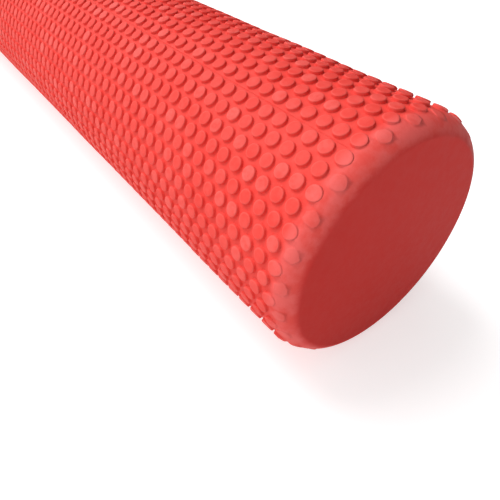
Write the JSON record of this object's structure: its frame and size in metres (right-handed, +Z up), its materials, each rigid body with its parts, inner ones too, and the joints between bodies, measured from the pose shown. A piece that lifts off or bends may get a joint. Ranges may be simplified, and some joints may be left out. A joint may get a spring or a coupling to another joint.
{
  "type": "foam roller",
  "caption": "Full-round foam roller with a studded barrel, rounded shoulders and flat ends, glued from two half-round mouldings.",
  "frame": {"origin": "on the ground below the middle of the roller, as it lies on its side on one row of studs", "axes": "+X along the roller's axis, +Z up; the glued joint leans 26.5 degrees from upright towards -Y at the top"},
  "size_m": [0.9, 0.15, 0.1499],
  "materials": {
    "foam": "matt closed-cell EVA foam, moulded skin, coral red",
    "adhesive": "dried contact adhesive, amber"
  },
  "bodies": {
    "root": {"front_half": "foam", "rear_half": "foam", "glue_film": "adhesive"}
  },
  "joints": []
}
